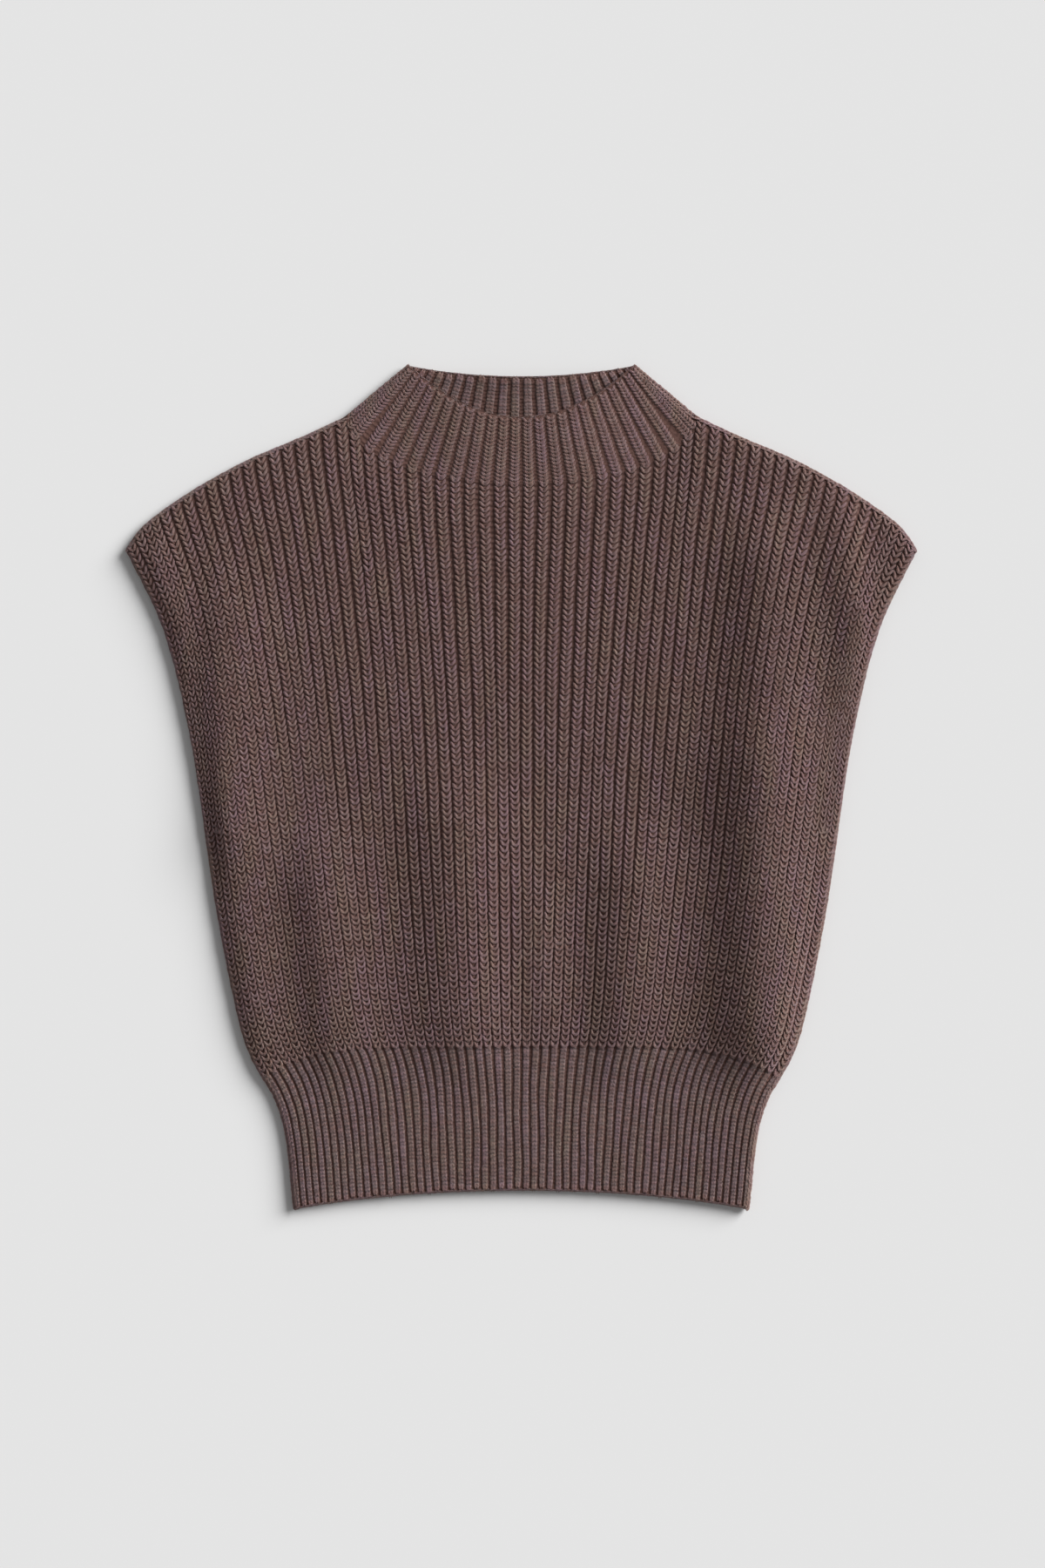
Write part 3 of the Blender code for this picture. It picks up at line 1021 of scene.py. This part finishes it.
def armhole_sites(panel, sites):
    """The sites of a body, with those of the bands beside its armholes set closer."""

    def above_foot(across, up):
        return panel.place(across, up)[1] > ARMHOLE_FOOT

    kept = (abs(sites[0]) < BAND_START) | ~above_foot(sites[0], sites[1])
    closer = []
    for column in range(BAND_COLUMNS):
        for side in (-1, 1):
            rows = outermost(panel, sites)
            rows[0] = side * (1 - (1 - BAND_START) / BAND_COLUMNS * (column + 0.5))
            rows[2] = BAND_RIBS / BAND_COLUMNS
            heads = rows[1] + 0.5 * rows[3]
            closer.append(rows[:, above_foot(rows[0], heads)])
    return np.concatenate([sites[:, kept], *closer], axis=1)


# A collar's outermost ribs fan out so far that a narrow one fills the room beside each of them
FILLER_ACROSS = 0.988
FILLER_SHARE = 0.3


def collar_sites(panel, sites, up_to):
    """The sites of a collar, with a narrow rib more at each side, up to a share of its height."""
    fillers = []
    for side in (-1, 1):
        rows = outermost(panel, sites)
        rows = rows[:, rows[1] < up_to]
        rows[0] = side * FILLER_ACROSS
        rows[2] = FILLER_SHARE
        fillers.append(rows)
    return np.concatenate([sites, *fillers], axis=1)


def rib_stitches(name, panel, leg, yarn, sites):
    """The stitches at a panel's sites, set into its face."""
    across, up, share, step = sites
    along, out, rib, length = panel.axes(across, up)
    width = np.minimum(panel.fill * rib * share, panel.widest + SPREAD * rib)
    points = panel.point(across, up) - out * (panel.depth * stitch_loft(width))[:, None]
    uneven = BODY_UNEVEN if panel.is_body else TRIM_UNEVEN
    return stitches(name, leg, yarn, points, along, out, width, length * step, uneven)


# -------- edges

EDGE_DEPTH = 1.5  # mm that an edge's stitch is set in, before its loft flattens both
TANGENT_REACH = 1.5  # mm ahead and behind over which a path's direction is measured
PATH_POINTS = 80
END_POINTS = 200
END_REACH = 0.995  # the share of its width that an open end's row of stitches runs along
END_SPACING = 2.8
ARMHOLE_OVERLAP = 12.0  # mm that an armhole's edge runs down beside the side seam

# The columns of stitches along an edge: (z of its line in mm, how far it looks up in degrees)
SEAM_COLUMNS = ((5.85, 45), (2.65, -30))
COLLAR_SEAM_COLUMNS = ((5.25, 62), (2.85, -30))
FRONT_ARMHOLE_COLUMNS = ((5.3, 40),)
BACK_ARMHOLE_COLUMNS = ((2.9, -30),)


def spaced(path, spacing):
    """Evenly spaced points on a path of (x, y, z) rows, its direction at each and their spacing."""
    reach = np.concatenate(([0.0], np.cumsum(np.linalg.norm(np.diff(path, axis=0), axis=1))))
    count = max(2, round(reach[-1] / spacing))
    marks = (np.arange(count) + 0.5) * reach[-1] / count

    def on_path(at):
        return np.stack([np.interp(at, reach, path[:, i]) for i in range(3)], axis=-1)

    along = on_path(marks + TANGENT_REACH) - on_path(marks - TANGENT_REACH)
    along /= np.linalg.norm(along, axis=-1, keepdims=True)
    return on_path(marks), along, reach[-1] / count


def edge_stitches(name, path, width, spacing, tilt, mirrored):
    """A column of stitches that runs along an edge, on both sides of the garment if mirrored.

    It looks away from the garment, and tilt degrees up, or down where tilt is negative.
    """
    points, along, course = spaced(path, spacing)
    side = np.cross(along, (0.0, 0.0, 1.0))
    side /= np.linalg.norm(side, axis=-1, keepdims=True)
    turn = math.radians(tilt)
    out = side * math.cos(turn) + np.array((0.0, 0.0, math.sin(turn)))
    points = points - side * (EDGE_DEPTH * stitch_loft(width))
    if mirrored:
        flip = np.array((-1.0, 1.0, 1.0))
        points, along, out = (np.concatenate((part, part * flip)) for part in (points, along, out))
    widths, courses = np.full(len(points), width), np.full(len(points), course)
    full_name = f"{name}_upper" if tilt > 0 else f"{name}_under"
    return stitches(
        full_name, EDGE_LEG, BODY_YARN, points, along, out, widths, courses, EDGE_UNEVEN
    )


def outline_stitches(name, low, high, columns, width, spacing):
    """Columns of stitches along both sides of the outline, between two heights."""
    marks = np.linspace(low, high, PATH_POINTS)
    x = np.interp(marks, OUTLINE[:, 1], OUTLINE[:, 0])
    knitted = []
    for z, tilt in columns:
        path = np.stack((x, marks - LENGTH / 2, np.full(PATH_POINTS, z)), axis=-1)
        knitted.append(edge_stitches(name, path, width, spacing, tilt, mirrored=True))
    return knitted


def end_stitches(name, panel, up, sink, width, tilt):
    """A row of stitches along a piece's open foot or head, at a share of its wall's thickness."""
    across = np.linspace(-END_REACH, END_REACH, END_POINTS)
    path = panel.point(across, np.full(END_POINTS, up), sink)
    outwards = path[::-1] if up == 1 else path  # stitches look to the right of their path
    return edge_stitches(name, outwards, width, END_SPACING, tilt, mirrored=False)


# -------- the garment


def dress(panel, wall, knitted):
    """Hangs the finish of one knitted piece on the frame, in place of its solid."""
    for piece in (wall, *knitted):
        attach(piece, "root")
    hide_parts(panel.node)
    panel.flat_area()


def back_body(floor):
    """Its stitches are in two halves, as one piece of them would be too large."""
    wall = cloth_wall(BACK_BODY)
    sites = rib_sites(BACK_BODY, spare=(0, 0.1))
    left, right = sites[:, sites[0] < 0], sites[:, sites[0] > 0]
    knitted = [
        rib_stitches("back_body_stitches_left", BACK_BODY, BACK_LEG, BODY_YARN, left),
        rib_stitches("back_body_stitches_right", BACK_BODY, BACK_LEG, BODY_YARN, right),
    ]
    knitted += outline_stitches(
        "back_armhole_edge",
        ARMHOLE_FOOT - ARMHOLE_OVERLAP,
        TIP_HEIGHT,
        BACK_ARMHOLE_COLUMNS,
        width=2.9,
        spacing=3.9,
    )
    dress(BACK_BODY, wall, knitted)
    return wall


def back_hem(floor):
    wall = cloth_wall(BACK_HEM)
    sites = rib_sites(BACK_HEM, spare=(1.2, 0), stagger=0.8)
    knitted = [
        rib_stitches("back_hem_rib_stitches", BACK_HEM, HEM_LEG, TRIM_YARN, sites),
        end_stitches("back_hem_end", BACK_HEM, 0.0, sink=0.5, width=3.6, tilt=-30),
    ]
    dress(BACK_HEM, wall, knitted)
    return wall


def back_collar(floor):
    """Its inner face shows above the front collar's rim."""
    wall = cloth_wall(BACK_COLLAR)
    sites = rib_sites(BACK_COLLAR, spare=(-0.6, 1.3), stagger=0.8)
    sites = collar_sites(BACK_COLLAR, sites, up_to=1.0)
    knitted = [
        rib_stitches("back_collar_stitches", BACK_COLLAR, HEM_LEG, TRIM_YARN, sites),
        end_stitches("back_collar_end", BACK_COLLAR, 1.0, sink=0.6, width=3.6, tilt=15),
    ]
    dress(BACK_COLLAR, wall, knitted)
    return wall


CHEST_FROM = 0.6  # the share of the way up from which its stitches are the chest's
WAIST_BANDS = 5


def front_body(back):
    """Its stitches pass from the waist's kind to the chest's in bands, each its own piece."""
    wall = cloth_wall(FRONT_BODY)
    sites = rib_sites(FRONT_BODY, spare=(0, 0), neck_spare=(0, -0.4))
    sites = armhole_sites(FRONT_BODY, sites)
    knitted = []
    bands = np.linspace(0, CHEST_FROM, WAIST_BANDS + 1)
    for i in range(WAIST_BANDS):
        leg = leg_between(WAIST_LEG, CHEST_LEG, i / WAIST_BANDS)
        band = sites[:, (sites[1] >= bands[i]) & (sites[1] < bands[i + 1])]
        name = f"front_body_stitches_{i + 1}"
        knitted.append(rib_stitches(name, FRONT_BODY, leg, BODY_YARN, band))
    chest = sites[:, sites[1] >= CHEST_FROM]
    for side, half in (("left", chest[:, chest[0] < 0]), ("right", chest[:, chest[0] > 0])):
        name = f"front_body_stitches_{WAIST_BANDS + 1}_{side}"
        knitted.append(rib_stitches(name, FRONT_BODY, CHEST_LEG, BODY_YARN, half))
    knitted += outline_stitches(
        "front_armhole_edge",
        ARMHOLE_FOOT - ARMHOLE_OVERLAP,
        TIP_HEIGHT,
        FRONT_ARMHOLE_COLUMNS,
        width=3.4,
        spacing=3.9,
    )
    knitted += outline_stitches(
        "side_seam", JOIN_EDGE, ARMHOLE_FOOT, SEAM_COLUMNS, width=4.4, spacing=4.0
    )
    knitted += outline_stitches(
        "shoulder_seam", TIP_HEIGHT, NECK_HEIGHT, SEAM_COLUMNS, width=4.4, spacing=3.8
    )
    dress(FRONT_BODY, wall, knitted)


def front_hem(back):
    wall = cloth_wall(FRONT_HEM)
    sites = rib_sites(FRONT_HEM, spare=(1.1, 0), stagger=0.8)
    knitted = [
        rib_stitches("front_hem_rib_stitches", FRONT_HEM, HEM_LEG, TRIM_YARN, sites),
        end_stitches("front_hem_end", FRONT_HEM, 0.0, sink=0.45, width=3.9, tilt=20),
    ]
    knitted += outline_stitches(
        "hem_side_seam", 0.0, JOIN_EDGE, SEAM_COLUMNS, width=5.0, spacing=3.0
    )
    dress(FRONT_HEM, wall, knitted)


def front_collar(back):
    wall = cloth_wall(FRONT_COLLAR)
    sites = rib_sites(FRONT_COLLAR, spare=(-0.45, 0.4))
    sites = collar_sites(FRONT_COLLAR, sites, up_to=0.8)
    knitted = [
        rib_stitches("front_collar_stitches", FRONT_COLLAR, COLLAR_LEG, BODY_YARN, sites),
        end_stitches("front_collar_end", FRONT_COLLAR, 1.0, sink=0.7, width=3.9, tilt=15),
    ]
    knitted += outline_stitches(
        "collar_side_seam", NECK_HEIGHT, LENGTH, COLLAR_SEAM_COLUMNS, width=5.0, spacing=2.8
    )
    dress(FRONT_COLLAR, wall, knitted)


# -------- the stage

# The frame: 1200 by 1800 pixels, at 0.6 mm a pixel on the garment
PIXEL = 0.6
FRAME_TALL = 1800 * PIXEL * MM
VIEW_DISTANCE = 2.6  # metres, as the two after it are
CLOTH_MIDDLE = 0.006  # the height on the garment at which a pixel has that size
CENTRE = (0.0008, 0.0022)  # where the middle of the frame falls on the garment
SENSOR = 36.0
FLOOR_HALF_WIDTH = 4000.0
FLOOR_DROP = 0.2  # keeps the floor clear of the stitches that the garment lies on
LAMP_WIDTH = math.radians(38)  # as wide as a large softbox looks
LAMP_STRENGTH = 4.6
LAMP_DIRECTION = (-0.74, -0.45, -0.5)
ROOM_STRENGTH = 0.25


def camera():
    """Looks straight down, with the garment where the frame has it."""
    scene = bpy.context.scene
    scene.view_settings.view_transform = "Standard"
    thing = bpy.data.objects.new("camera", bpy.data.cameras.new("camera"))
    thing.data.sensor_width = SENSOR
    thing.data.lens = SENSOR * VIEW_DISTANCE / FRAME_TALL
    thing.location = (*CENTRE, VIEW_DISTANCE + CLOTH_MIDDLE)
    scene.collection.objects.link(thing)
    scene.camera = thing


def paper_floor():
    """Matt uncoated paper, pale grey: an even ground that takes soft shadows."""
    material, _ = new_material("pale_paper", PAPER)
    corners = np.array([(-1, -1, 0), (1, -1, 0), (1, 1, 0), (-1, 1, 0)], float) * FLOOR_HALF_WIDTH
    floor = mesh_object("floor", corners - (0, 0, FLOOR_DROP), [(0, 1, 2, 3)], material)
    return floor


def light():
    """One wide soft lamp from the upper right, in a room that is pale all round."""
    lamp = bpy.data.lights.new("key", "SUN")
    lamp.angle = LAMP_WIDTH
    lamp.energy = LAMP_STRENGTH
    key = bpy.data.objects.new("key", lamp)
    key.rotation_euler = Vector(LAMP_DIRECTION).to_track_quat("-Z", "Y").to_euler()
    bpy.context.scene.collection.objects.link(key)
    world = bpy.data.worlds.new("soft_room")
    world.use_nodes = True
    background = world.node_tree.nodes["Background"].inputs
    background["Color"].default_value = (1, 1, 1, 1)
    background["Strength"].default_value = ROOM_STRENGTH
    bpy.context.scene.world = world


camera()
ground = paper_floor()
light()
# The back pieces lie on the ground, and each front piece on the back piece under it
back_cloths = [knit(ground) for knit in (back_body, back_hem, back_collar)]
for knit, back_cloth in zip((front_body, front_hem, front_collar), back_cloths):
    knit(back_cloth)
